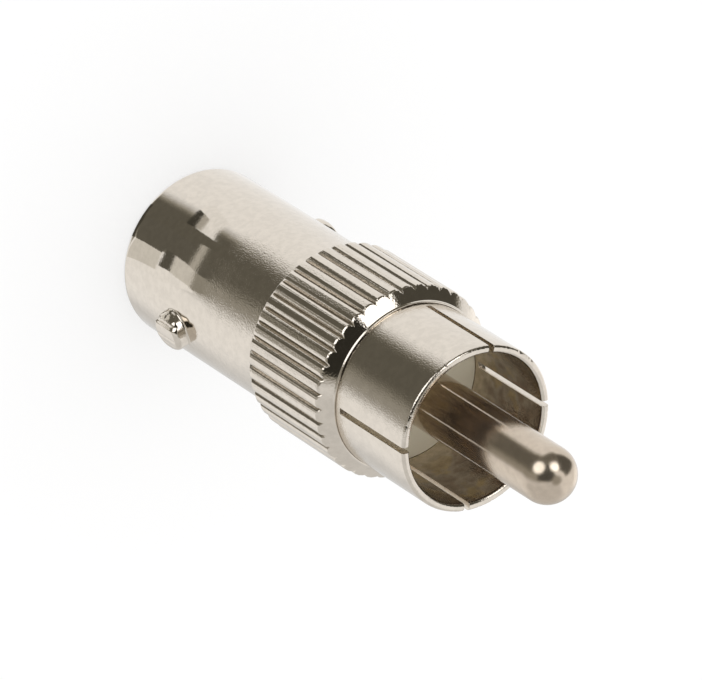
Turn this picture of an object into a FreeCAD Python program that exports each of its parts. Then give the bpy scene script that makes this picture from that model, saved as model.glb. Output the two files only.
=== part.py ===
"""Adapter from a bayonet coaxial jack to a phono plug, in millimetres.

The adapter stands upright on the flat rim of its jack: +Z runs along its axis, from the jack's mouth
at height 0 to the round nose of the plug's pin, and the two bayonet lugs lie on the X axis.
"""
import FreeCAD, Part
import os
import Sketcher
from FreeCAD import Placement, Rotation, Vector

# Driving sizes: name, value, what it is
SIZES = [
    ("barrel_diameter", 9.65, "outside of the jack's barrel"),
    ("barrel_length", 12.75, "jack's rim to the back of the grip"),
    ("barrel_bore", 8.1, "inside of the jack, where the mating plug goes"),
    ("bore_depth", 8.8, "jack's rim to the web inside the body"),
    ("rim_bevel", 0.18, "bevel on both edges of the jack's rim"),
    ("bevel_share", 0.45, "most that a bevel takes of the wall or step it is on"),
    ("lug_diameter", 2.2, "round bayonet lug"),
    ("lug_span", 11.2, "over the ends of the two lugs"),
    ("lug_height", 4.85, "jack's rim to the middle of the lugs"),
    ("lug_bevel", 0.15, "bevel round the end of a lug"),
    ("grip_diameter", 10.9, "over the lands of the knurl"),
    ("grip_length", 6.35, "straight knurled band"),
    ("grip_bevel", 0.08, "broken edge at the back of the grip"),
    ("groove_count", 40, "grooves round the grip"),
    ("groove_depth", 0.2, "depth of a V groove"),
    ("groove_width", 0.46, "width of a V groove at the lands"),
    ("groove_turn", 2.9, "degrees from the lugs to the first groove"),
    ("groove_overshoot", 0.2, "how far the groove's cutter stands clear of the lands"),
    ("nose_diameter", 9.5, "front face of the body"),
    ("nose_length", 0.65, "cone between the grip and the front face"),
    ("web_thickness", 1.8, "web that carries the jack's insulator"),
    ("fit_gap", 0.02, "clearance at the side of every part that slides in"),
    ("sleeve_diameter", 9.3, "outside of the slotted ground sleeve"),
    ("sleeve_wall", 0.45, "wall of the sleeve"),
    ("sleeve_insertion", 4.2, "length of the sleeve inside the body"),
    ("sleeve_reach", 6.1, "front face of the body to the sleeve's mouth"),
    ("sleeve_bevel", 0.1, "bevel on both edges of the mouth"),
    ("slot_width", 0.32, "saw slot"),
    ("slot_length", 5.7, "mouth to the root of a slot"),
    ("first_slot_angle", 64.2, "degrees from the lugs to the first saw cut"),
    ("first_slot_offset", 0.162, "how far the first cut misses the axis"),
    ("second_slot_angle", -15, "degrees from the lugs to the second saw cut"),
    ("second_slot_offset", -0.13, "how far the second cut misses the axis"),
    ("pin_diameter", 3.17, "phono pin"),
    ("pin_reach", 7.75, "sleeve's mouth to the pin's tip"),
    ("pin_nose", 1.6, "length of the pin's round nose"),
    ("foot_diameter", 3.6, "pin's foot, inside its insulator"),
    ("collar_diameter", 4.4, "collar that keeps the pin in"),
    ("collar_length", 1.2, "length of that collar"),
    ("stub_diameter", 1.6, "pin's stub in the back of the socket"),
    ("stub_length", 4.0, "length of that stub"),
    ("floor_rise", 0.1, "plug insulator's face above the body's front face"),
    ("flange_diameter", 7.6, "bore above the web, round the insulators"),
    ("flange_thickness", 2.4, "flange of the jack's insulator"),
    ("tube_diameter", 4.75, "insulating tube round the socket"),
    ("tube_recess", 0.4, "jack's rim to the end of that tube"),
    ("tube_bore", 2.5, "room round the socket's fingers"),
    ("socket_recess", 0.6, "jack's rim to the end of the socket"),
    ("socket_diameter", 2.14, "outside of the socket's fingers"),
    ("socket_bore", 1.4, "bore for the mating plug's pin"),
    ("socket_depth", 5.4, "depth of that bore"),
    ("finger_length", 4.6, "length of the socket's slots"),
    ("finger_slot", 0.25, "width of the socket's slots"),
    ("mouth_bevel", 0.15, "lead-in of the socket"),
    ("shank_diameter", 2.8, "back of the socket, in the insulator"),
    ("shank_height", 6.4, "jack's rim to the shoulder under the shank"),
    ("finger_slot_angle", 45, "degrees from the lugs to the socket's first cut"),
    ("stub_end_gap", 0.3, "room past the stub's end in its bore"),
]

TOLERANCE = 1e-6
RIGHT_ANGLE = 90

# Heights above the jack's rim
GRIP_TOP = "(Sizes.barrel_length + Sizes.grip_length)"
NOSE_TOP = f"({GRIP_TOP} + Sizes.nose_length)"
SLEEVE_SEAT = f"({NOSE_TOP} - Sizes.sleeve_insertion)"
MOUTH = f"({NOSE_TOP} + Sizes.sleeve_reach)"
TIP = f"({MOUTH} + Sizes.pin_reach)"
FLOOR = f"({NOSE_TOP} + Sizes.floor_rise)"
WEB_TOP = "(Sizes.bore_depth + Sizes.web_thickness)"
COLLAR_SEAT = f"({WEB_TOP} + Sizes.flange_thickness)"
COLLAR_TOP = f"({COLLAR_SEAT} + Sizes.collar_length)"

# Radii that two pieces share
BARREL = "Sizes.barrel_diameter / 2"
BORE = "Sizes.barrel_bore / 2"
GRIP = "Sizes.grip_diameter / 2"
SLEEVE = "Sizes.sleeve_diameter / 2"
SLEEVE_BORE = "(Sizes.sleeve_diameter / 2 - Sizes.sleeve_wall)"
FLANGE = "Sizes.flange_diameter / 2"
TUBE = "Sizes.tube_diameter / 2"
PIN = "Sizes.pin_diameter / 2"
FOOT = "Sizes.foot_diameter / 2"
COLLAR = "Sizes.collar_diameter / 2"
SHANK = "Sizes.shank_diameter / 2"
STUB = "Sizes.stub_diameter / 2"


def make_sheet(doc):
    """The sheet of driving sizes, one named cell each."""
    sheet = doc.addObject("Spreadsheet::Sheet", "Sizes")
    for row, (name, value, meaning) in enumerate(SIZES, start=1):
        sheet.set(f"A{row}", meaning)
        sheet.set(f"B{row}", str(value))
        sheet.setAlias(f"B{row}", name)
    doc.recompute()
    return sheet


def make_body(doc, name):
    """An empty body whose label is its piece's name."""
    body = doc.addObject("PartDesign::Body", name)
    body.Label = name
    return body


def origin_part(body, role):
    """One plane or axis of the body's own origin."""
    return next(part for part in body.Origin.OriginFeatures if part.Role == role)


def value_of(sketch, expression):
    """What an expression on the sheet comes to now."""
    return float(sketch.evalExpression(expression))


def tie(feature, field, expression):
    """Binds one field of a feature to the sheet."""
    feature.setExpression(field, expression)


def hold_corner(sketch, corner, kind, axis, expression):
    """Keeps one coordinate of a corner at an expression, or on the axis where it is zero."""
    if expression == "0":
        sketch.addConstraint(Sketcher.Constraint("PointOnObject", corner, 1, axis))
        return
    distance = value_of(sketch, expression)
    index = sketch.addConstraint(Sketcher.Constraint(kind, -1, 1, corner, 1, distance))
    tie(sketch, f"Constraints[{index}]", expression)


def draw_outline(body, name, plane, corners):
    """A closed sketch of straight lines whose corners are pairs of expressions on the sheet."""
    sketch = body.newObject("Sketcher::SketchObject", name)
    sketch.AttachmentSupport = [(origin_part(body, plane), "")]
    sketch.MapMode = "FlatFace"
    places = [Vector(value_of(sketch, across), value_of(sketch, up), 0) for across, up in corners]
    for start, end in zip(places, places[1:] + places[:1]):
        sketch.addGeometry(Part.LineSegment(start, end))
    for corner in range(len(corners)):
        following = (corner + 1) % len(corners)
        sketch.addConstraint(Sketcher.Constraint("Coincident", corner, 2, following, 1))
    for corner, (across, up) in enumerate(corners):
        hold_corner(sketch, corner, "DistanceX", -2, across)
        hold_corner(sketch, corner, "DistanceY", -1, up)
    return sketch


def turn(body, name, corners, kind="PartDesign::Revolution"):
    """Turns an outline of (radius, height) corners about the Z axis, as metal or as a cut."""
    sketch = draw_outline(body, name + "_outline", "XZ_Plane", corners)
    feature = body.newObject(kind, name)
    feature.Profile = sketch
    feature.ReferenceAxis = (sketch, ["V_Axis"])
    feature.Angle = 360
    body.Document.recompute()
    return feature


def ring_edges(feature, radius, height):
    """Names of the round edges about the Z axis with this radius and height."""
    names = []
    for number, edge in enumerate(feature.Shape.Edges, start=1):
        curve = edge.Curve
        if not isinstance(curve, Part.Circle) or abs(curve.Axis.z) < 1 - TOLERANCE:
            continue
        if abs(curve.Radius - radius) < TOLERANCE and abs(curve.Center.z - height) < TOLERANCE:
            names.append(f"Edge{number}")
    return names


def bevel(body, name, base, edges, size, wall):
    """A chamfer of one named size on edges of the last feature, kept within the wall or step it is on."""
    feature = body.newObject("PartDesign::Chamfer", name)
    feature.Base = (base, edges)
    tie(feature, "Size", f"min({size}; Sizes.bevel_share * ({wall}))")
    body.Document.recompute()
    return feature


def saw_cut(body, name, width, root, top, reach, angle, offset):
    """A slot right across the piece, cut down its axis from its open end to the slot's root."""
    corners = [
        (f"-({reach})", f"{offset} - {width} / 2"),
        (reach, f"{offset} - {width} / 2"),
        (reach, f"{offset} + {width} / 2"),
        (f"-({reach})", f"{offset} + {width} / 2"),
    ]
    sketch = draw_outline(body, name + "_outline", "XY_Plane", corners)
    sketch.AttachmentOffset = Placement(Vector(0, 0, 0), Rotation(Vector(0, 0, 1), 1))
    tie(sketch, ".AttachmentOffset.Base.z", root)
    tie(sketch, ".AttachmentOffset.Rotation.Angle", angle)
    feature = body.newObject("PartDesign::Pocket", name)
    feature.Profile = sketch
    feature.Reversed = True
    tie(feature, "Length", f"{top} - {root}")
    body.Document.recompute()
    return feature


def make_adapter_body(doc):
    """Barrel, lugs, knurled grip and nose, turned from one bar, with its bores."""
    body = make_body(doc, "body")
    turn(body, "bar", [
        ("0", "0"),
        (BARREL, "0"),
        (BARREL, "Sizes.barrel_length"),
        (GRIP, "Sizes.barrel_length"),
        (GRIP, GRIP_TOP),
        ("Sizes.nose_diameter / 2", NOSE_TOP),
        ("0", NOSE_TOP),
    ])
    add_lugs(body)
    bores = turn(body, "bores", [
        ("0", "0"),
        (BORE, "0"),
        (BORE, "Sizes.bore_depth"),
        (f"{TUBE} + Sizes.fit_gap", "Sizes.bore_depth"),
        (f"{TUBE} + Sizes.fit_gap", WEB_TOP),
        (FLANGE, WEB_TOP),
        (FLANGE, SLEEVE_SEAT),
        (f"{SLEEVE} + Sizes.fit_gap", SLEEVE_SEAT),
        (f"{SLEEVE} + Sizes.fit_gap", NOSE_TOP),
        ("0", NOSE_TOP),
    ], "PartDesign::Groove")
    sheet = doc.Sizes
    rim = ring_edges(bores, sheet.barrel_diameter / 2, 0) + ring_edges(bores, sheet.barrel_bore / 2, 0)
    rimmed = bevel(body, "rim_bevels", bores, rim, "Sizes.rim_bevel", f"{BARREL} - {BORE}")
    back = ring_edges(rimmed, sheet.grip_diameter / 2, sheet.barrel_length)
    bevel(body, "grip_back_bevel", rimmed, back, "Sizes.grip_bevel", f"{GRIP} - {BARREL}")
    add_grooves(body)
    return body


def add_lugs(body):
    """One round bar across the barrel, which the bores then leave as two lugs, with bevelled ends."""
    sketch = body.newObject("Sketcher::SketchObject", "lug_outline")
    sketch.AttachmentSupport = [(origin_part(body, "YZ_Plane"), "")]
    sketch.MapMode = "FlatFace"
    sheet = body.Document.Sizes
    centre = Vector(0, sheet.lug_height, 0)
    sketch.addGeometry(Part.Circle(centre, Vector(0, 0, 1), sheet.lug_diameter / 2))
    sketch.addConstraint(Sketcher.Constraint("PointOnObject", 0, 3, -2))
    height = sketch.addConstraint(Sketcher.Constraint("DistanceY", -1, 1, 0, 3, centre.y))
    diameter = sketch.addConstraint(Sketcher.Constraint("Diameter", 0, sheet.lug_diameter))
    tie(sketch, f"Constraints[{height}]", "Sizes.lug_height")
    tie(sketch, f"Constraints[{diameter}]", "Sizes.lug_diameter")
    lugs = body.newObject("PartDesign::Pad", "lugs")
    lugs.Profile = sketch
    lugs.SideType = "Symmetric"
    tie(lugs, "Length", "Sizes.lug_span")
    body.Document.recompute()
    ends = []
    for number, edge in enumerate(lugs.Shape.Edges, start=1):
        curve = edge.Curve
        if isinstance(curve, Part.Circle) and abs(abs(curve.Center.x) - sheet.lug_span / 2) < TOLERANCE:
            ends.append(f"Edge{number}")
    bevel(body, "lug_bevels", lugs, ends, "Sizes.lug_bevel", f"Sizes.lug_span / 2 - {BARREL}")


def add_grooves(body):
    """V grooves along the grip, open at its back edge and running out on the nose cone."""
    root = f"({GRIP} - Sizes.groove_depth)"
    outside = f"({GRIP} + Sizes.groove_overshoot)"
    half_width = ("Sizes.groove_width / 2 * (Sizes.groove_depth + Sizes.groove_overshoot)"
                  " / Sizes.groove_depth")
    sketch = draw_outline(body, "groove_outline", "XY_Plane", [
        (root, "0"),
        (outside, f"-({half_width})"),
        (outside, half_width),
    ])
    sketch.AttachmentOffset = Placement(Vector(0, 0, 0), Rotation(Vector(0, 0, 1), 1))
    tie(sketch, ".AttachmentOffset.Base.z", "Sizes.barrel_length")
    tie(sketch, ".AttachmentOffset.Rotation.Angle", "Sizes.groove_turn")
    groove = body.newObject("PartDesign::Pocket", "groove")
    groove.Profile = sketch
    groove.Reversed = True
    tie(groove, "Length", "Sizes.grip_length + Sizes.nose_length")
    body.Document.recompute()
    knurl = body.newObject("PartDesign::PolarPattern", "knurl")
    knurl.Originals = [groove]
    knurl.Axis = (origin_part(body, "Z_Axis"), [""])
    knurl.Angle = 360
    tie(knurl, "Occurrences", "Sizes.groove_count")
    body.Tip = knurl
    body.Document.recompute()


def make_phono_shell(doc):
    """Thin sleeve seated in the body's nose, sawn twice across from its mouth."""
    shell = make_body(doc, "phono_shell")
    tube = turn(shell, "tube", [
        (SLEEVE_BORE, SLEEVE_SEAT),
        (SLEEVE, SLEEVE_SEAT),
        (SLEEVE, MOUTH),
        (SLEEVE_BORE, MOUTH),
    ])
    sheet = doc.Sizes
    outside = sheet.sleeve_diameter / 2
    mouth = value_of(tube, MOUTH)
    rim = ring_edges(tube, outside, mouth) + ring_edges(tube, outside - sheet.sleeve_wall, mouth)
    bevel(shell, "mouth_bevels", tube, rim, "Sizes.sleeve_bevel", "Sizes.sleeve_wall")
    root = f"({MOUTH} - Sizes.slot_length)"
    for cut in ("first", "second"):
        saw_cut(shell, f"{cut}_cut", "Sizes.slot_width", root, MOUTH, "Sizes.sleeve_diameter",
                f"Sizes.{cut}_slot_angle", f"Sizes.{cut}_slot_offset")
    return shell


def make_centre_pin(doc):
    """Solid pin with a round nose, a foot and collar in the insulators and a stub in the socket."""
    pin = make_body(doc, "centre_pin")
    turn(pin, "shaft", [
        ("0", f"{COLLAR_SEAT} - Sizes.stub_length"),
        (STUB, f"{COLLAR_SEAT} - Sizes.stub_length"),
        (STUB, COLLAR_SEAT),
        (COLLAR, COLLAR_SEAT),
        (COLLAR, COLLAR_TOP),
        (FOOT, COLLAR_TOP),
        (FOOT, FLOOR),
        (PIN, FLOOR),
        (PIN, f"{TIP} - Sizes.pin_nose"),
        ("0", f"{TIP} - Sizes.pin_nose"),
    ])
    nose = pin.newObject("PartDesign::AdditiveEllipsoid", "nose")
    nose.AttachmentSupport = [(origin_part(pin, "XY_Plane"), "")]
    nose.MapMode = "FlatFace"
    tie(nose, ".AttachmentOffset.Base.z", f"{TIP} - Sizes.pin_nose")
    tie(nose, "Radius1", "Sizes.pin_nose")
    tie(nose, "Radius2", PIN)
    tie(nose, "Radius3", PIN)
    doc.recompute()
    return pin


def make_plug_insulator(doc):
    """Bush round the pin: its face is the floor of the plug, its shoulder sits beside the sleeve."""
    insulator = make_body(doc, "plug_insulator")
    turn(insulator, "bush", [
        (f"{COLLAR} + Sizes.fit_gap", COLLAR_SEAT),
        (f"{FLANGE} - Sizes.fit_gap", COLLAR_SEAT),
        (f"{FLANGE} - Sizes.fit_gap", SLEEVE_SEAT),
        (f"{SLEEVE_BORE} - Sizes.fit_gap", SLEEVE_SEAT),
        (f"{SLEEVE_BORE} - Sizes.fit_gap", FLOOR),
        (f"{FOOT} + Sizes.fit_gap", FLOOR),
        (f"{FOOT} + Sizes.fit_gap", COLLAR_TOP),
        (f"{COLLAR} + Sizes.fit_gap", COLLAR_TOP),
    ])
    return insulator


def make_jack_insulator(doc):
    """Flanged tube that sits on the web and stands round the socket."""
    insulator = make_body(doc, "jack_insulator")
    turn(insulator, "flanged_tube", [
        ("Sizes.tube_bore / 2", "Sizes.tube_recess"),
        (TUBE, "Sizes.tube_recess"),
        (TUBE, WEB_TOP),
        (f"{FLANGE} - Sizes.fit_gap", WEB_TOP),
        (f"{FLANGE} - Sizes.fit_gap", COLLAR_SEAT),
        (f"{SHANK} + Sizes.fit_gap", COLLAR_SEAT),
        (f"{SHANK} + Sizes.fit_gap", "Sizes.shank_height"),
        ("Sizes.tube_bore / 2", "Sizes.shank_height"),
    ])
    return insulator


def make_socket_contact(doc):
    """Socket with four spring fingers, and a thicker shank bored for the pin's stub."""
    socket = make_body(doc, "socket_contact")
    finger = "Sizes.socket_diameter / 2"
    bore = "Sizes.socket_bore / 2"
    bore_end = "Sizes.socket_recess + Sizes.socket_depth"
    stub_end = f"{COLLAR_SEAT} - Sizes.stub_length - Sizes.stub_end_gap"
    turned = turn(socket, "turned", [
        (bore, "Sizes.socket_recess"),
        (finger, "Sizes.socket_recess"),
        (finger, "Sizes.shank_height"),
        (SHANK, "Sizes.shank_height"),
        (SHANK, COLLAR_SEAT),
        (f"{STUB} + Sizes.fit_gap", COLLAR_SEAT),
        (f"{STUB} + Sizes.fit_gap", stub_end),
        ("0", stub_end),
        ("0", bore_end),
        (bore, bore_end),
    ])
    sheet = doc.Sizes
    entry = ring_edges(turned, sheet.socket_bore / 2, sheet.socket_recess)
    bevel(socket, "entry_bevel", turned, entry, "Sizes.mouth_bevel", f"{finger} - {bore}")
    root = "(Sizes.socket_recess + Sizes.finger_length)"
    second_angle = f"Sizes.finger_slot_angle + {RIGHT_ANGLE}"
    for cut, angle in (("first", "Sizes.finger_slot_angle"), ("second", second_angle)):
        saw_cut(socket, f"{cut}_cut", "Sizes.finger_slot", "Sizes.socket_recess", root,
                "Sizes.socket_diameter", angle, "0")
    return socket


def check_document(doc):
    """Stops where anything in the document failed or a piece has no valid solid."""
    for thing in doc.Objects:
        if "Invalid" in thing.State or "Error" in thing.State:
            raise RuntimeError(f"{thing.Name} failed: {thing.State}")
    for body in doc.findObjects("PartDesign::Body"):
        if body.Shape.isNull() or not body.Shape.isValid() or not body.Shape.Solids:
            raise RuntimeError(f"{body.Label} has no valid solid")


def export_pieces(doc):
    """Writes each piece to a file of its own, named by its label."""
    os.makedirs("parts", exist_ok=True)
    for body in doc.findObjects("PartDesign::Body"):
        body.Shape.exportStep(f"parts/{body.Label}.step")
        box = body.Shape.BoundBox
        print(f"{body.Label}: {body.Shape.Volume:.2f} mm3, {len(body.Shape.Solids)} solid,"
              f" z {box.ZMin:.2f} to {box.ZMax:.2f}")


def main():
    doc = FreeCAD.newDocument("adapter")
    make_sheet(doc)
    make_adapter_body(doc)
    make_phono_shell(doc)
    make_centre_pin(doc)
    make_plug_insulator(doc)
    make_jack_insulator(doc)
    make_socket_contact(doc)
    doc.recompute()
    check_document(doc)
    export_pieces(doc)


main()
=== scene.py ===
"""Looks of the bayonet jack to phono plug adapter: fine meshes, materials, studio light, floor and camera.

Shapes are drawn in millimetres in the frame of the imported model, and scaled to metres as they are made.
"""
import math

import bmesh
import bpy
from mathutils import Matrix, Vector, noise


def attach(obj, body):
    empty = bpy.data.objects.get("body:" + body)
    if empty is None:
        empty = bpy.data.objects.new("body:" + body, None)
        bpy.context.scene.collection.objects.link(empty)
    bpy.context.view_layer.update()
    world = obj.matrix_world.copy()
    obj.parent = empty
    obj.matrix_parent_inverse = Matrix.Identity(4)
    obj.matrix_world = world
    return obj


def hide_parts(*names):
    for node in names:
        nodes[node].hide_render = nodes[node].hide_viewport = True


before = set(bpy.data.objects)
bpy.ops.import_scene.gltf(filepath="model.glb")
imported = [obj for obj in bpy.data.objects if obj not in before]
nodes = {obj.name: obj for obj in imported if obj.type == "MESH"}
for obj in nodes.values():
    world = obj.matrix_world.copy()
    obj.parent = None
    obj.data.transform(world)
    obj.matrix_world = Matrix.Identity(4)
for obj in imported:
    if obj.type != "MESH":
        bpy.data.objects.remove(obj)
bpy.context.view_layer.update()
scene = bpy.context.scene

# A millimetre in metres, how near in mm two points become one, and a sharp edge's angle in degrees
MM = 0.001
SAME_POINT = 0.0001
SHARP_EDGE = 35.0

# Camera: place in mm, its right and down directions, and its lens for a 36 mm wide sensor
CAMERA_PLACE = (152.258, -234.348, 319.145)
CAMERA_RIGHT = (-0.789306, 0.228221, 0.570010)
CAMERA_DOWN = (0.490857, 0.792244, 0.362503)
CAMERA_LENS = 402.92
SENSOR_WIDTH = 36.0

# Colours under white light
NICKEL = (0.716, 0.655, 0.575)
GOLD = (0.93, 0.70, 0.36)
PIN_PLATE = (0.62, 0.53, 0.43)
# Inside the cup: the plate darkened as painted shade, lighter at the foot and darker from there up to the
# mouth
CUP_FOOT_SHADED = (0.60, 0.52, 0.41)
CUP_MOUTH_SHADED = (0.36, 0.31, 0.265)
WHITE_PLASTIC = (0.98, 0.90, 0.70)
# Stains in the cup: the noise value at which one is full, and its colour
CUP_STAINS = (
    (0.36, (0.27, 0.215, 0.175)),
    (0.64, (0.42, 0.335, 0.22)),
)

# Sizes of the surfaces' patterns in mm
MOTTLE_SIZE = 0.4
STAIN_SIZE = 1.1
PLASTIC_GRAIN = 0.4
GRAIN_DEPTH = 0.01
WEAR_REACH = 1.8
# The noise's usual range and middle, the roughness at its ends as shares, and the plastic's bump strength
NOISE_LOW = 0.3
NOISE_MIDDLE = 0.5
NOISE_HIGH = 0.7
METAL_SHARES = (0.8, 1.25)
PLASTIC_SHARES = (0.85, 1.15)
PLASTIC_RELIEF = 0.2
NICKEL_ROUGHNESS = 0.06

# Body
BARREL = 4.825
BORE = 4.05
GRIP = 5.45
GRIP_BACK = 12.75
GRIP_FRONT = 19.10
NOSE = 4.72
NOSE_TOP = 19.75
WEB_BOTTOM = 8.8
WEB_TOP = 10.6
WEB_HOLE = 2.395
SEAT = 15.55
FLANGE_BORE = 3.8
NOSE_BORE = 4.655
# Its plain rows by radius and height: from the web through the bore and over the barrel to the grip
JACK_ROWS = (
    (WEB_HOLE, WEB_TOP), (WEB_HOLE, WEB_BOTTOM), (BORE, WEB_BOTTOM), (BORE, 0.22), (4.062, 0.12),
    (4.105, 0.045), (4.18, 0.006), (4.25, 0.0), (4.64, 0.0), (4.70, 0.006), (4.765, 0.045), (4.81, 0.12),
    (BARREL, 0.24), (BARREL, 3.0), (BARREL, 6.5), (BARREL, 10.0), (BARREL, 12.66), (4.832, 12.72),
    (4.86, GRIP_BACK),
)
# And from the cone over the nose's bead and back inside to the web
NOSE_ROWS = (
    (4.795, 19.683), (4.787, 19.69), (4.779, 19.702), (4.775, 19.711), (4.749, 19.766), (4.745, 19.775),
    (4.738, 19.784), (4.728, 19.788), (4.67, 19.788), (4.66, 19.78), (NOSE_BORE, NOSE_TOP),
    (NOSE_BORE, SEAT), (FLANGE_BORE, SEAT), (FLANGE_BORE, WEB_TOP),
)
# What has the brighter plate: faces tilted up by this on the cone, or this far outside the barrel on a lug
CONE_TILT = 0.3
LUG_MARGIN = 0.02

# Knurl: first groove's angle in degrees, the slopes beside a groove, its root, and its scores
TEETH = 40
FIRST_GROOVE = 2.9
LIP_OUT = 0.31
LIP_ROUND = 0.02
LIP_SLOPE = 0.33
LIP_CURVE = 0.35
ROOT_EDGE = 0.12
ROOT_SLOPE = 1.05
ROOT_ROUND = 0.014
ROOT_VARIES = 0.2
SCORE = 0.012
LAND_DROP = 0.006
BACK_BEVEL = 0.2
RUN_OUT_DEPTH = 0.82
RAGGED_EDGE = 0.03
# Columns of a tooth by their distance from its groove's middle
ACROSS = (
    0.0, 0.014, 0.032, 0.05, 0.068, 0.084, 0.098, 0.112, 0.13, 0.15, 0.17, 0.19, 0.21, 0.23, 0.25, 0.27,
    0.285, 0.298, 0.31, 0.33,
)
# Rows along the grip: where they start over its back, their step, and how many
ROWS_START = 0.07
ROW_STEP = 0.47
GRIP_ROWS = 12
# Rows at the grip's back and front edges: how far ahead of the edge, and how far under the grip
BACK_ROWS = ((-1.0, 0.0), (-0.03, 0.0), (0.02, 0.004), (0.06, 0.0))
FRONT_ROWS = ((-0.14, 0.0), (-0.05, 0.001), (-0.04, 0.0056), (0.04, 0.0504), (0.05, 0.0), (0.08, 0.0))
# Steps through the noise per tooth, per mm along and per mm across, and where the rest of it is taken
ROOT_PER_TOOTH = 7.31
ROOT_ALONG = 0.25
ROOT_LAYER = 3.0
SCORE_PER_TOOTH = 2.7
SCORE_ALONG = 0.12
SCORE_ACROSS = 15.0
EDGE_PER_TOOTH = 5.1
EDGE_ACROSS = 9.0
EDGE_LAYER = (2.0, 4.0)

# Lugs: their rows at the foot and round the end by radius and rise, and the rings of the end's face
LUG_RADIUS = 1.1
LUG_END = 5.6
LUG_HEIGHT = 4.85
LUG_COLUMNS = 144
LUG_FOOT = ((1.24, -0.25), (1.2, 0.0), (1.15, 0.015), (1.115, 0.045), (LUG_RADIUS, 0.1))
LUG_ROUND = ((LUG_RADIUS, -0.3), (1.08, -0.2), (1.03, -0.115), (0.95, -0.045), (0.87, -0.01))
LUG_FACE = 0.8
LUG_FACE_STEP = 0.04
LUG_FACE_RINGS = 20
# Wear on a lug's end: steps by where they start, their width and drop, and marks by place, width and depth
LUG_STEPS = ((-0.52, -0.1, 0.13), (-0.84, -0.12, 0.2), (0.82, 0.14, 0.06))
LUG_MARKS = ((-0.66, 0.03, 0.03), (0.16, 0.05, 0.03), (0.5, 0.04, 0.012))

# Sleeve: its two saw cuts by angle in degrees and offset, and the columns of a finger and of a slot
SLEEVE = 4.65
SLEEVE_BORE = 4.2
MOUTH = 25.85
SLOT_ROOT = 20.15
SLOT_WIDTH = 0.32
SAW_CUTS = ((64.2, 0.162), (-15.0, -0.13))
FINGERS = 2 * len(SAW_CUTS)
FINGER_STEPS = 150
SLOT_STEPS = 4
# Rows of a finger over its rounded mouth, by radius and height
FINGER_ROWS = (
    (SLEEVE, 21.5), (SLEEVE, 23.5), (SLEEVE, 25.64), (4.644, 25.70), (4.624, 25.755), (4.59, 25.80),
    (4.545, 25.833), (4.49, MOUTH), (4.37, MOUTH), (4.315, 25.835), (4.268, 25.80), (4.228, 25.75),
    (4.206, 25.69), (SLEEVE_BORE, 25.63), (SLEEVE_BORE, 23.5), (SLEEVE_BORE, 21.5),
)
# Knocks: the edge they lie on and their reach, how fine they are, and a slight wave with deeper dents
NICK_RADIUS = 4.60
NICK_HEIGHT = 25.80
NICK_REACH = 0.12
NICKS_ROUND = 26.0
NICK_LAYER = 1.5
NICK_WAVE = 0.006
NICK_DEPTH = 0.08
NICK_START = 0.36
# How near the bore a face takes the inside's painted shade, and the burr on sawn edges: width, segments and
# least angle
INNER_MARGIN = 0.03
BURR = 0.02
BURR_SEGMENTS = 2
BURR_ANGLE = 50

# Pin: columns, steps of its round nose, and its rows up to the nose by radius and height
PIN = 1.585
PIN_NOSE = 1.6
TIP = 33.6
PIN_COLUMNS = 128
PIN_NOSE_STEPS = 24
PIN_ROWS = (
    (0.0, 9.0), (0.8, 9.0), (0.8, 13.0), (2.2, 13.0), (2.2, 14.2), (1.8, 14.2), (1.8, 19.83),
    (1.78, 19.85), (PIN, 19.86), (PIN, 24.0), (PIN, 28.0),
)

# What the metal mirrors. Bands in the order painted: azimuth from the camera's, half width, height above
# the horizon, half height (all in degrees), how soft the edge is, and brightness.
CAMERA_AZIMUTH = -57.0
STUDIO_LIGHT = 1.0
BANDS = (
    (107, 52, 35, 60, 12, 0.72),
    (150, 32, -55, 45, 18, 0.70),
    (0, 400, 90, 15, 5, 0.14),
    (25, 24, -5, 90, 9, 0.36),
    (-10, 32, -5, 90, 11, 0.13),
    (3, 38, 44, 26, 3, 0.03),
    (-104, 31, 24, 30, 4, 0.08),
    (-58, 24, 3, 18, 6, 0.14),
    (0, 400, 90, 17, 9, 0.35),
)
# Lamps and boxes: azimuth from the camera's, height, angular radius, softness, brightness
ROUND_BOXES = (
    (-3.5, 6, 21, 5, 1.9),
    (200, -6, 14, 6, 1.3),
    (-55, 41, 16, 1.2, 2.3),
)
# Colour of the darkest parts of the room, and the brightness at which it has cleared to white
SHADE_TINT = (1.0, 0.93, 0.74)
TINT_CLEARS = 0.8
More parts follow.
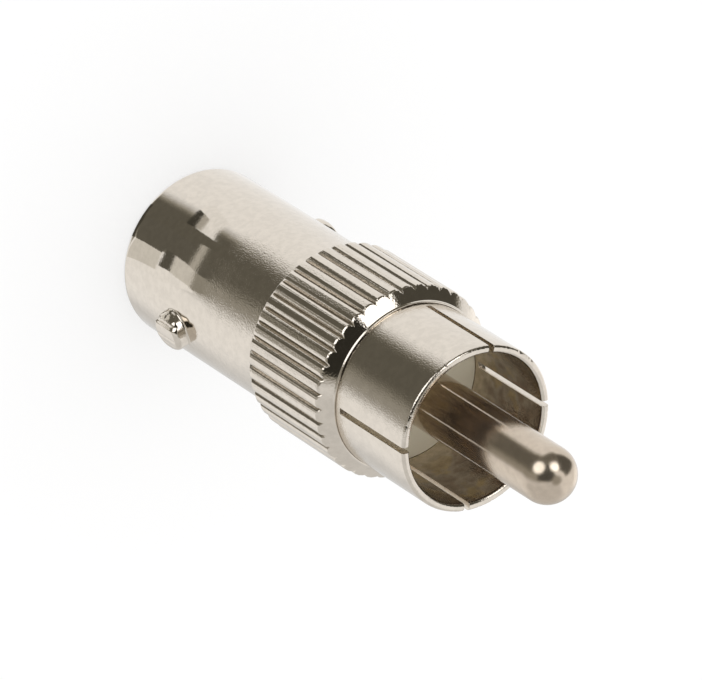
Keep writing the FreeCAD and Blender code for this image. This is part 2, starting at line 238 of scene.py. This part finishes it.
# Glowing cards by the jack's rim, painted reflections which only the metal sees: brightness and corners on
# the floor in mm
REFLECTION_CARDS = (
    # The first, darkest card is painted shadow: the adapter's own shadow by the rim as the metal mirrors it
    (0.07, ((1.93, -4.65), (2.90, -4.14), (3.72, -3.40), (3.48, -3.18), (2.71, -3.87), (1.88, -4.33))),
    (0.98, ((3.72, -3.43), (7.76, -6.41), (9.80, -3.33), (7.30, -2.02), (4.43, -1.94))),
    (0.13, ((6.39, -7.86), (7.18, -7.11), (7.87, -6.29), (9.35, -7.24), (8.51, -8.26), (7.54, -9.18))),
    (0.32, ((7.87, -6.29), (8.46, -5.39), (8.94, -4.43), (9.22, -3.67), (10.90, -4.10), (10.63, -4.93),
            (10.06, -6.12), (9.35, -7.24))),
    (0.13, ((3.79, -3.44), (4.69, -4.00), (5.59, -4.63), (5.41, -5.22), (6.04, -5.67), (7.10, -6.21),
            (6.48, -6.95), (5.75, -7.61), (4.95, -8.16), (4.16, -7.51), (3.50, -6.16), (2.70, -4.39),
            (3.13, -3.93))),
    (0.74, ((3.79, -3.44), (5.59, -4.63), (6.12, -3.78), (6.46, -2.82), (4.29, -2.32))),
    (0.72, ((6.04, -5.67), (7.10, -6.21), (7.76, -6.41), (8.57, -5.20), (9.14, -3.82), (7.33, -3.69),
            (6.74, -4.80))),
    (0.10, ((5.41, -5.22), (6.04, -5.67), (6.74, -4.80), (7.26, -3.79), (6.41, -3.42), (6.00, -4.37))),
    (0.50, ((4.07, -8.58), (4.95, -8.16), (5.75, -7.61), (6.48, -6.95), (7.10, -6.21), (7.76, -6.41),
            (7.00, -7.30), (6.12, -8.07), (5.14, -8.70), (4.09, -9.16))),
    (0.95, ((2.30, -7.98), (2.70, -9.59), (-1.12, -9.74), (-1.70, -7.62), (0.05, -7.50))),
    (0.06, ((2.25, -7.25), (1.18, -7.49), (0.05, -7.50), (0.06, -7.94), (1.16, -8.08), (2.30, -7.98))),
    (0.48, ((0.06, -7.94), (0.28, -8.53), (1.37, -8.58), (2.28, -8.47), (2.30, -7.98), (1.16, -8.08))),
)
# How far each card lies over the one before it
REFLECTION_CARD_STEP = 0.01

# The plain room's light at the horizon, and the floor's side in metres, its grey and its own glow
ROOM_LIGHT = 0.5
FLOOR_SIZE = 4.0
FLOOR_GREY = 0.42
FLOOR_GLOW = 0.60


def add_camera():
    """The camera of the photograph, rolled so that the adapter's axis runs down to the right."""
    data = bpy.data.cameras.new("camera")
    data.sensor_fit = "HORIZONTAL"
    data.sensor_width = SENSOR_WIDTH
    data.lens = CAMERA_LENS
    data.clip_start = 0.01
    data.clip_end = 20.0
    camera = bpy.data.objects.new("camera", data)
    right = Vector(CAMERA_RIGHT).normalized()
    up = -Vector(CAMERA_DOWN).normalized()
    back = right.cross(up)
    turn = Matrix((right, up, back)).transposed().to_4x4()
    camera.matrix_world = Matrix.Translation(Vector(CAMERA_PLACE) * MM) @ turn
    scene.collection.objects.link(camera)
    scene.camera = camera


class Graph:
    """Short ways to add nodes to one node tree."""

    def __init__(self, tree):
        self.tree = tree
        tree.nodes.clear()

    def feed(self, socket, value):
        """Gives an input a value, or links another node's socket to it."""
        if isinstance(value, bpy.types.NodeSocket):
            self.tree.links.new(value, socket)
        else:
            socket.default_value = value

    def add(self, kind, settings=None, **inputs):
        """A node with its settings, and its inputs by name, each a value or another node's socket."""
        made = self.tree.nodes.new(kind)
        for key, value in (settings or {}).items():
            setattr(made, key, value)
        for key, value in inputs.items():
            self.feed(made.inputs[key.replace("_", " ")], value)
        return made

    def fill(self, kind, values, settings=None, places=None):
        """A node with its inputs by number: in order, or at the places given."""
        made = self.add(kind, settings)
        for place, value in zip(places or range(len(values)), values):
            self.feed(made.inputs[place], value)
        return made

    def math(self, operation, *values):
        """The result of a Math node on numbers or sockets."""
        return self.fill("ShaderNodeMath", values, {"operation": operation}).outputs[0]

    def dot(self, first, second):
        """The dot product of two directions."""
        made = self.fill("ShaderNodeVectorMath", (first, second), {"operation": "DOT_PRODUCT"})
        return made.outputs["Value"]

    def steps(self, value, low, high, start=0.0, end=1.0):
        """A smooth step from start to end as value goes from low to high."""
        values = (value, low, high, start, end)
        return self.fill("ShaderNodeMapRange", values, {"interpolation_type": "SMOOTHSTEP"}).outputs[0]

    def spread(self, cloud, start, end):
        """Values from start to end over the noise's usual range."""
        return self.steps(cloud, NOISE_LOW, NOISE_HIGH, start, end)

    def blend(self, share, first, second):
        """A number between two others."""
        values = (share, first, second)
        return self.fill("ShaderNodeMix", values, {"data_type": "FLOAT"}, (0, 2, 3)).outputs[0]

    def blend_colours(self, share, first, second):
        """A colour between two others."""
        start = first if isinstance(first, bpy.types.NodeSocket) else (*first, 1)
        values = (share, start, (*second, 1))
        return self.fill("ShaderNodeMix", values, {"data_type": "RGBA"}, (0, 6, 7)).outputs[2]

    def cloud(self, where, size, detail):
        """Noise with a size in mm."""
        made = self.add("ShaderNodeTexNoise", Vector=where, Scale=1 / (size * MM), Detail=detail)
        return made.outputs["Fac"]

    def relief(self, height, strength):
        """The surface's direction over shallow bumps."""
        made = self.add("ShaderNodeBump", Height=height, Strength=strength, Distance=GRAIN_DEPTH * MM)
        return made.outputs[0]


def direction(azimuth, height):
    """The direction at an azimuth from the camera's and a height, in degrees, in the turned frame."""
    flat = math.cos(math.radians(height))
    across = math.radians(azimuth)
    return Vector((flat * math.cos(across), flat * math.sin(across), math.sin(math.radians(height))))


def add_world():
    """A white room for the eye, and soft boxes with dark gaps between them for what the metal mirrors."""
    world = bpy.data.worlds.new("studio")
    scene.world = world
    world.use_nodes = True
    g = Graph(world.node_tree)
    where = g.add("ShaderNodeTexCoord").outputs["Generated"]
    angle = math.radians(-CAMERA_AZIMUTH)
    ray = g.add("ShaderNodeVectorRotate", {"rotation_type": "Z_AXIS"}, Vector=where, Angle=angle).outputs[0]
    split = g.add("ShaderNodeSeparateXYZ", Vector=ray).outputs
    azimuth = g.math("DEGREES", g.math("ARCTAN2", split["Y"], split["X"]))
    height = g.math("DEGREES", g.math("ARCSINE", split["Z"]))
    level = STUDIO_LIGHT
    for centre, half, middle, half_height, soft, brightness in BANDS:
        apart = g.math("SUBTRACT", azimuth, centre)
        across = g.math("ABSOLUTE", g.math("WRAP", apart, 180, -180))
        upward = g.math("ABSOLUTE", g.math("SUBTRACT", height, middle))
        inside = g.steps(across, half - soft, half + soft, 1.0, 0.0)
        within = g.steps(upward, half_height - soft, half_height + soft, 1.0, 0.0)
        level = g.blend(g.math("MULTIPLY", inside, within), level, brightness)
    for centre, middle, radius, soft, brightness in ROUND_BOXES:
        facing = g.dot(ray, direction(centre, middle))
        far = math.cos(math.radians(radius + soft))
        near = math.cos(math.radians(radius - soft))
        level = g.blend(g.steps(facing, far, near), level, brightness)
    warmth = [g.steps(level, 0.0, TINT_CLEARS, part, 1.0) for part in SHADE_TINT]
    tint = g.add("ShaderNodeCombineColor", Red=warmth[0], Green=warmth[1], Blue=warmth[2]).outputs[0]
    mirrored = g.add("ShaderNodeBackground", Color=tint, Strength=level).outputs[0]
    overhead = g.math("MULTIPLY", split["Z"], split["Z"])
    light = g.math("ADD", overhead, ROOM_LIGHT)
    plain = g.add("ShaderNodeBackground", Color=(1, 1, 1, 1), Strength=light).outputs[0]
    glossy = g.add("ShaderNodeLightPath").outputs["Is Glossy Ray"]
    both = g.fill("ShaderNodeMixShader", (glossy, plain, mirrored))
    g.add("ShaderNodeOutputWorld", Surface=both.outputs[0])


def new_material(name):
    """A material and its empty graph."""
    material = bpy.data.materials.new(name)
    material.use_nodes = True
    return material, Graph(material.node_tree)


def add_floor():
    """A pale floor under the jack's rim that keeps the adapter's soft shadow."""
    bpy.ops.mesh.primitive_plane_add(size=FLOOR_SIZE, location=(0, 0, 0))
    floor = bpy.context.object
    floor.name = "floor"
    material, g = new_material("floor")
    matte = g.add("ShaderNodeBsdfDiffuse", Color=(FLOOR_GREY, FLOOR_GREY, FLOOR_GREY, 1)).outputs[0]
    glow = g.add("ShaderNodeEmission", Color=(1, 1, 1, 1), Strength=FLOOR_GLOW).outputs[0]
    both = g.fill("ShaderNodeAddShader", (matte, glow))
    g.add("ShaderNodeOutputMaterial", Surface=both.outputs[0])
    floor.data.materials.append(material)
    floor.visible_glossy = False


def add_reflection_cards():
    """Small flat glowing cards on the floor, painted reflections and one painted shadow, that show only in
    the metal near the jack's rim.
    """
    for number, (brightness, corners) in enumerate(REFLECTION_CARDS):
        name = f"paper_{number}"
        height = REFLECTION_CARD_STEP * (number + 1)
        mesh = bpy.data.meshes.new(name)
        points = [Vector((x, y, height)) * MM for x, y in corners]
        mesh.from_pydata(points, [], [tuple(range(len(points)))])
        material, g = new_material(name)
        tint = [part + (1 - part) * brightness for part in SHADE_TINT]
        glow = g.add("ShaderNodeEmission", Color=(*tint, 1), Strength=brightness)
        g.add("ShaderNodeOutputMaterial", Surface=glow.outputs[0])
        mesh.materials.append(material)
        reflection_card = bpy.data.objects.new(name, mesh)
        reflection_card.visible_camera = False
        reflection_card.visible_diffuse = False
        reflection_card.visible_shadow = False
        scene.collection.objects.link(reflection_card)


def metal(name, colour, roughness, grain, grain_size,
          mottle=0.04, haze=0.0, upper=None, stains=(), worn=None, calm=None):
    """Plated metal with a fine grain, a soft mottle and a share of dull haze.

    upper is a second colour, with the heights over which it takes over, and stains lie in patches on that
    upper part. worn is a duller upper part: its roughness, and the height about which it takes over. calm
    is the share of the grain on the lowest part, with the heights over which the rest of it comes in.
    """
    material, g = new_material(name)
    where = g.add("ShaderNodeTexCoord").outputs["Object"]
    height = g.add("ShaderNodeSeparateXYZ", Vector=where).outputs["Z"]
    speckle = g.cloud(where, grain_size, detail=2.0)
    shine = g.spread(speckle, *(roughness * share for share in METAL_SHARES))
    if worn:
        dull, middle = worn
        begun = g.steps(height, (middle - WEAR_REACH) * MM, (middle + WEAR_REACH) * MM)
        shine = g.blend(begun, shine, dull)
    bumps = speckle
    if calm:
        share, low, high = calm
        bumps = g.math("MULTIPLY", speckle, g.steps(height, low * MM, high * MM, share, 1.0))
    tone = g.spread(g.cloud(where, MOTTLE_SIZE, detail=3.0), 1 - mottle, 1 + mottle)
    if upper:
        second, low, high = upper
        risen = g.steps(height, low * MM, high * MM)
        colour = g.blend_colours(risen, colour, second)
        patches = g.cloud(where, STAIN_SIZE, detail=4.0)
        for full, stain in stains:
            patch = g.steps(patches, NOISE_MIDDLE, full)
            colour = g.blend_colours(g.math("MULTIPLY", patch, risen), colour, stain)
    plate = g.add("ShaderNodeVectorMath", {"operation": "SCALE"}, Vector=colour, Scale=tone).outputs[0]
    surface = g.add("ShaderNodeBsdfPrincipled", Base_Color=plate, Metallic=1 - haze, Roughness=shine,
                    Normal=g.relief(bumps, grain))
    g.add("ShaderNodeOutputMaterial", Surface=surface.outputs[0])
    return material


def plastic(name, colour, roughness):
    """Turned white plastic with a faint mottle."""
    material, g = new_material(name)
    where = g.add("ShaderNodeTexCoord").outputs["Object"]
    speckle = g.cloud(where, PLASTIC_GRAIN, detail=3.0)
    shine = g.spread(speckle, *(roughness * share for share in PLASTIC_SHARES))
    surface = g.add("ShaderNodeBsdfPrincipled", Base_Color=(*colour, 1), Roughness=shine,
                    Normal=g.relief(speckle, PLASTIC_RELIEF))
    g.add("ShaderNodeOutputMaterial", Surface=surface.outputs[0])
    return material


def dress(name, material):
    """Gives a CAD node its material."""
    for slot in nodes[name].material_slots:
        slot.material = material
    if not nodes[name].material_slots:
        nodes[name].data.materials.append(material)


def make_piece(name, points, faces, material, node):
    """One closed mesh that stands for a CAD node, smooth but for its sharp edges."""
    mesh = bpy.data.meshes.new(name)
    mesh.from_pydata([Vector(point) * MM for point in points], [], faces)
    tidy = bmesh.new()
    tidy.from_mesh(mesh)
    bmesh.ops.remove_doubles(tidy, verts=tidy.verts, dist=SAME_POINT * MM)
    bmesh.ops.recalc_face_normals(tidy, faces=tidy.faces)
    tidy.to_mesh(mesh)
    tidy.free()
    mesh.shade_smooth()
    mesh.set_sharp_from_angle(angle=math.radians(SHARP_EDGE))
    mesh.materials.append(material)
    piece = bpy.data.objects.new(name, mesh)
    scene.collection.objects.link(piece)
    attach(piece, "root")
    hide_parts(node)
    return piece


def polar(radius, angle, height):
    """A point from its radius, angle in radians and height."""
    return (radius * math.cos(angle), radius * math.sin(angle), height)


def add_row(points, row):
    """Adds a row of points, and gives their vertex numbers."""
    first = len(points)
    points += row
    return list(range(first, len(points)))


def join_rows(first, second, faces, closed=True):
    """Faces between two rows of vertex numbers."""
    count = len(first)
    for i in range(count if closed else count - 1):
        j = (i + 1) % count
        faces.append((first[i], first[j], second[j], second[i]))


def turned(profile, columns):
    """Points and faces of a turned solid whose profile starts and ends on the axis."""
    points = []
    faces = []
    rings = []
    for radius, height in profile:
        if radius == 0:
            rings.append(add_row(points, [(0, 0, height)]) * columns)
            continue
        around = [polar(radius, 2 * math.pi * i / columns, height) for i in range(columns)]
        rings.append(add_row(points, around))
    for first, second in zip(rings, rings[1:]):
        strip = []
        join_rows(first, second, strip)
        faces += [tuple(dict.fromkeys(face)) for face in strip]
    return points, faces


def groove_depth(across, tooth, height):
    """How far the knurl lies under the grip's radius at a distance from a groove's middle."""
    beside = abs(across)
    if beside >= LIP_OUT:
        return LAND_DROP
    own = noise.noise(Vector((tooth * ROOT_PER_TOOTH, height * ROOT_ALONG, ROOT_LAYER)))
    score = noise.noise(Vector((across * SCORE_ACROSS, tooth * SCORE_PER_TOOTH, height * SCORE_ALONG)))
    drop = LIP_OUT - beside
    fade = min(1.0, drop / LIP_ROUND)
    depth = LIP_SLOPE * (math.hypot(drop, LIP_ROUND) - LIP_ROUND) + LIP_CURVE * drop ** 2
    depth += fade * SCORE * score
    if beside < ROOT_EDGE:
        edge = math.hypot(ROOT_EDGE, ROOT_ROUND)
        depth += ROOT_SLOPE * (edge - math.hypot(beside, ROOT_ROUND)) * (1 + ROOT_VARIES * own)
    return LAND_DROP + depth


def make_body(material, bright_material):
    """Barrel, knurled grip and nose in one fine mesh, with its bores and two lugs."""
    columns = []
    half = math.pi / TEETH * GRIP
    places = [-across for across in reversed(ACROSS[1:])] + list(ACROSS) + [half]
    for tooth in range(TEETH):
        middle = math.radians(FIRST_GROOVE + tooth * 360 / TEETH)
        columns += [(middle + across / GRIP, tooth, across) for across in places]
    points = []
    faces = []
    rings = []

    def ring(place):
        """One row of the skin: place gives the radius and height for a tooth and a distance across it."""
        row = []
        for angle, tooth, across in columns:
            radius, height = place(tooth, across)
            row.append(polar(radius, angle, height))
        rings.append(add_row(points, row))

    def plain(radius, height):
        """A row with the same radius all round."""
        ring(lambda tooth, across: (radius, height))

    def knurled(height):
        """A row of the grip at a height."""
        ring(lambda tooth, across: (GRIP - groove_depth(across, tooth, height), height))

    def run_in(ahead, under):
        """A row where the grip's back bevel meets its lands: on the bevel where ahead is less than 0."""
        def place(tooth, across):
            depth = groove_depth(across, tooth, GRIP_BACK)
            rise = max(0.0, BACK_BEVEL - depth)
            if ahead < 0:
                climbed = max(0.0, rise + ahead)
                return GRIP - max(depth, BACK_BEVEL) + climbed, GRIP_BACK + climbed
            return GRIP - depth - under, GRIP_BACK + rise + ahead
        ring(place)

    def run_out(ahead, under):
        """A row where the grip meets the cone: on the grip or its edge bevel, or else on the cone."""
        def place(tooth, across):
            depth = RUN_OUT_DEPTH * groove_depth(across, tooth, GRIP_FRONT)
            wave = noise.noise(Vector((tooth * EDGE_PER_TOOTH + across * EDGE_ACROSS, *EDGE_LAYER)))
            height = GRIP_FRONT + depth / cone + ahead + RAGGED_EDGE * wave
            if under or ahead < 0:
                return GRIP - depth - under, height
            return NOSE + (NOSE_TOP - height) * cone, height
        ring(place)

    cone = (GRIP - NOSE) / (NOSE_TOP - GRIP_FRONT)
    for radius, height in JACK_ROWS:
        plain(radius, height)
    for ahead, under in BACK_ROWS:
        run_in(ahead, under)
    for step in range(1, GRIP_ROWS + 1):
        knurled(GRIP_BACK + ROWS_START + step * ROW_STEP)
    for ahead, under in FRONT_ROWS:
        run_out(ahead, under)
    for radius, height in NOSE_ROWS:
        plain(radius, height)
    for first, second in zip(rings, rings[1:] + rings[:1]):
        join_rows(first, second, faces)
    for side in (1, -1):
        add_lug(points, faces, side)
    body = make_piece("body_skin", points, faces, material, "body")
    body.data.materials.append(bright_material)
    for face in body.data.polygons:
        on_cone = face.center.z > GRIP_FRONT * MM and face.normal.z > CONE_TILT
        on_lug = face.center.xy.length > (BARREL + LUG_MARGIN) * MM and face.center.z < GRIP_BACK / 2 * MM
        face.material_index = int(on_cone or on_lug)


def lug_ridges(across):
    """How far the end of a lug is worn down in steps and marks that run along the barrel."""
    level = 0.0
    for edge, width, drop in LUG_STEPS:
        share = min(1.0, max(0.0, (across - edge) / width))
        level += drop * share * share * (3 - 2 * share)
    for place, width, depth in LUG_MARKS:
        level += depth * math.exp(-((across - place) / width) ** 2)
    return level


def add_lug(points, faces, side):
    """A short round stud, rounded at its end and flared where it meets the barrel."""
    face_rows = tuple((LUG_FACE - LUG_FACE_STEP * i, 0.0) for i in range(LUG_FACE_RINGS))
    rows = [(BARREL, *row) for row in LUG_FOOT] + [(LUG_END, *row) for row in LUG_ROUND + face_rows]
    rings = []
    for base, radius, rise in rows:
        around = []
        for i in range(LUG_COLUMNS):
            turn = 2 * math.pi * i / LUG_COLUMNS
            across = radius * math.cos(turn)
            height = LUG_HEIGHT + radius * math.sin(turn)
            out = math.sqrt(base ** 2 - across ** 2) + rise
            if base == LUG_END:
                out -= lug_ridges(across)
            around.append((side * out, side * across, height))
        rings.append(add_row(points, around))
    centre = add_row(points, [(side * (LUG_END - lug_ridges(0.0)), 0, LUG_HEIGHT)])[0]
    for first, second in zip(rings, rings[1:]):
        join_rows(first, second, faces)
    last = rings[-1]
    faces += [(last[i], last[(i + 1) % LUG_COLUMNS], centre) for i in range(LUG_COLUMNS)]
    faces.append(tuple(reversed(rings[0])))


def slot_edges(radius):
    """Start and end angle of each saw slot at a radius, round from the lowest."""
    edges = []
    for turn, offset in SAW_CUTS:
        low, high = (math.asin((offset + part * SLOT_WIDTH / 2) / radius) for part in (-1, 1))
        here = math.radians(turn)
        edges.append((here + low, here + high))
        edges.append((here + math.pi - high, here + math.pi - low))
    return sorted(edges)


def knocked(radius, angle, height):
    """A point of a finger, moved in where small knocks dent the outer edge of the mouth."""
    share = max(0.0, 1 - math.hypot(radius - NICK_RADIUS, height - NICK_HEIGHT) / NICK_REACH)
    wave = noise.noise(Vector((math.cos(angle) * NICKS_ROUND, math.sin(angle) * NICKS_ROUND, NICK_LAYER)))
    dent = share * (NICK_WAVE * wave + NICK_DEPTH * max(0.0, wave - NICK_START))
    return polar(radius - dent, angle, height - dent)


def make_sleeve(material, shaded_inner_material):
    """Ground sleeve: a thin tube with a rounded mouth, sawn into four fingers, its inside darkened with
    painted shade.
    """
    points = []
    faces = []

    def angles(radius):
        """Column angles of the whole tube, and of each finger, at a radius."""
        edges = slot_edges(radius)
        whole = []
        fingers = []
        for k, (start, end) in enumerate(edges):
            following = edges[(k + 1) % FINGERS][0] + (2 * math.pi if k == FINGERS - 1 else 0)
            whole += [start + (end - start) * i / SLOT_STEPS for i in range(SLOT_STEPS)]
            finger = [end + (following - end) * i / FINGER_STEPS for i in range(FINGER_STEPS + 1)]
            whole += finger[:-1]
            fingers.append(finger)
        return whole, fingers

    def ring(radius, height):
        """A row round the whole tube."""
        whole = angles(radius)[0]
        return add_row(points, [polar(radius, angle, height) for angle in whole])

    outer_foot, outer_root = ring(SLEEVE, SEAT), ring(SLEEVE, SLOT_ROOT)
    inner_foot, inner_root = ring(SLEEVE_BORE, SEAT), ring(SLEEVE_BORE, SLOT_ROOT)
    join_rows(outer_foot, outer_root, faces)
    join_rows(inner_foot, inner_root, faces)
    join_rows(outer_foot, inner_foot, faces)
    per_part = FINGER_STEPS + SLOT_STEPS
    total = FINGERS * per_part
    for k in range(FINGERS):
        start = k * per_part
        slot = [(start + i) % total for i in range(SLOT_STEPS + 1)]
        join_rows([outer_root[i] for i in slot], [inner_root[i] for i in slot], faces, closed=False)
        finger = [(start + SLOT_STEPS + i) % total for i in range(FINGER_STEPS + 1)]
        rows = [[outer_root[i] for i in finger]]
        for radius, height in FINGER_ROWS:
            own = angles(radius)[1][k]
            rows.append(add_row(points, [knocked(radius, angle, height) for angle in own]))
        rows.append([inner_root[i] for i in finger])
        for first, second in zip(rows, rows[1:]):
            join_rows(first, second, faces, closed=False)
        faces.append(tuple(row[0] for row in rows))
        faces.append(tuple(row[-1] for row in reversed(rows)))
    sleeve = make_piece("sleeve_skin", points, faces, material, "phono_shell")
    sleeve.data.materials.append(shaded_inner_material)
    # Faces at the bore take the inside's painted shade
    for face in sleeve.data.polygons:
        face.material_index = int(face.center.xy.length < (SLEEVE_BORE + INNER_MARGIN) * MM)
    burr = sleeve.modifiers.new("edges", "BEVEL")
    burr.width = BURR * MM
    burr.segments = BURR_SEGMENTS
    burr.limit_method = "ANGLE"
    burr.angle_limit = math.radians(BURR_ANGLE)
    burr.harden_normals = True


def make_pin(material):
    """Solid pin with a round nose."""
    shoulder = TIP - PIN_NOSE
    profile = list(PIN_ROWS) + [(PIN, shoulder)]
    for step in range(1, PIN_NOSE_STEPS):
        turn = math.pi / 2 * step / PIN_NOSE_STEPS
        profile.append((PIN * math.cos(turn), shoulder + PIN_NOSE * math.sin(turn)))
    profile.append((0.0, TIP))
    points, faces = turned(profile, PIN_COLUMNS)
    make_piece("pin_skin", points, faces, material, "centre_pin")


nickel = metal("nickel", NICKEL, NICKEL_ROUGHNESS, grain=1.5, grain_size=0.09, calm=(0.09, 6.4, 8.8))
sleeve_nickel = metal("sleeve_nickel", NICKEL, NICKEL_ROUGHNESS, grain=0.9, grain_size=0.08)
bright_nickel = metal("bright_nickel", NICKEL, NICKEL_ROUGHNESS, grain=0.4, grain_size=0.12)
# The cup's inside: colours that carry painted shade, with stains of its own
cup_shaded_nickel = metal("cup_shaded_nickel", CUP_FOOT_SHADED, roughness=0.16, grain=0.9, grain_size=0.12,
                   mottle=0.15, haze=0.05, upper=(CUP_MOUTH_SHADED, 19.9, 22.2), stains=CUP_STAINS)
pin_nickel = metal("pin_nickel", PIN_PLATE, roughness=0.09, grain=0.2, grain_size=0.12,
                   haze=0.045, worn=(0.2, 28.0))
gold = metal("gold", GOLD, roughness=0.18, grain=0.2, grain_size=0.08)
ivory = plastic("white_plastic", WHITE_PLASTIC, roughness=0.4)
make_body(nickel, bright_nickel)
make_sleeve(sleeve_nickel, cup_shaded_nickel)
make_pin(pin_nickel)
dress("socket_contact", gold)
for piece in ("plug_insulator", "jack_insulator"):
    dress(piece, ivory)

add_camera()
add_world()
add_floor()
add_reflection_cards()
scene.view_settings.view_transform = "Standard"
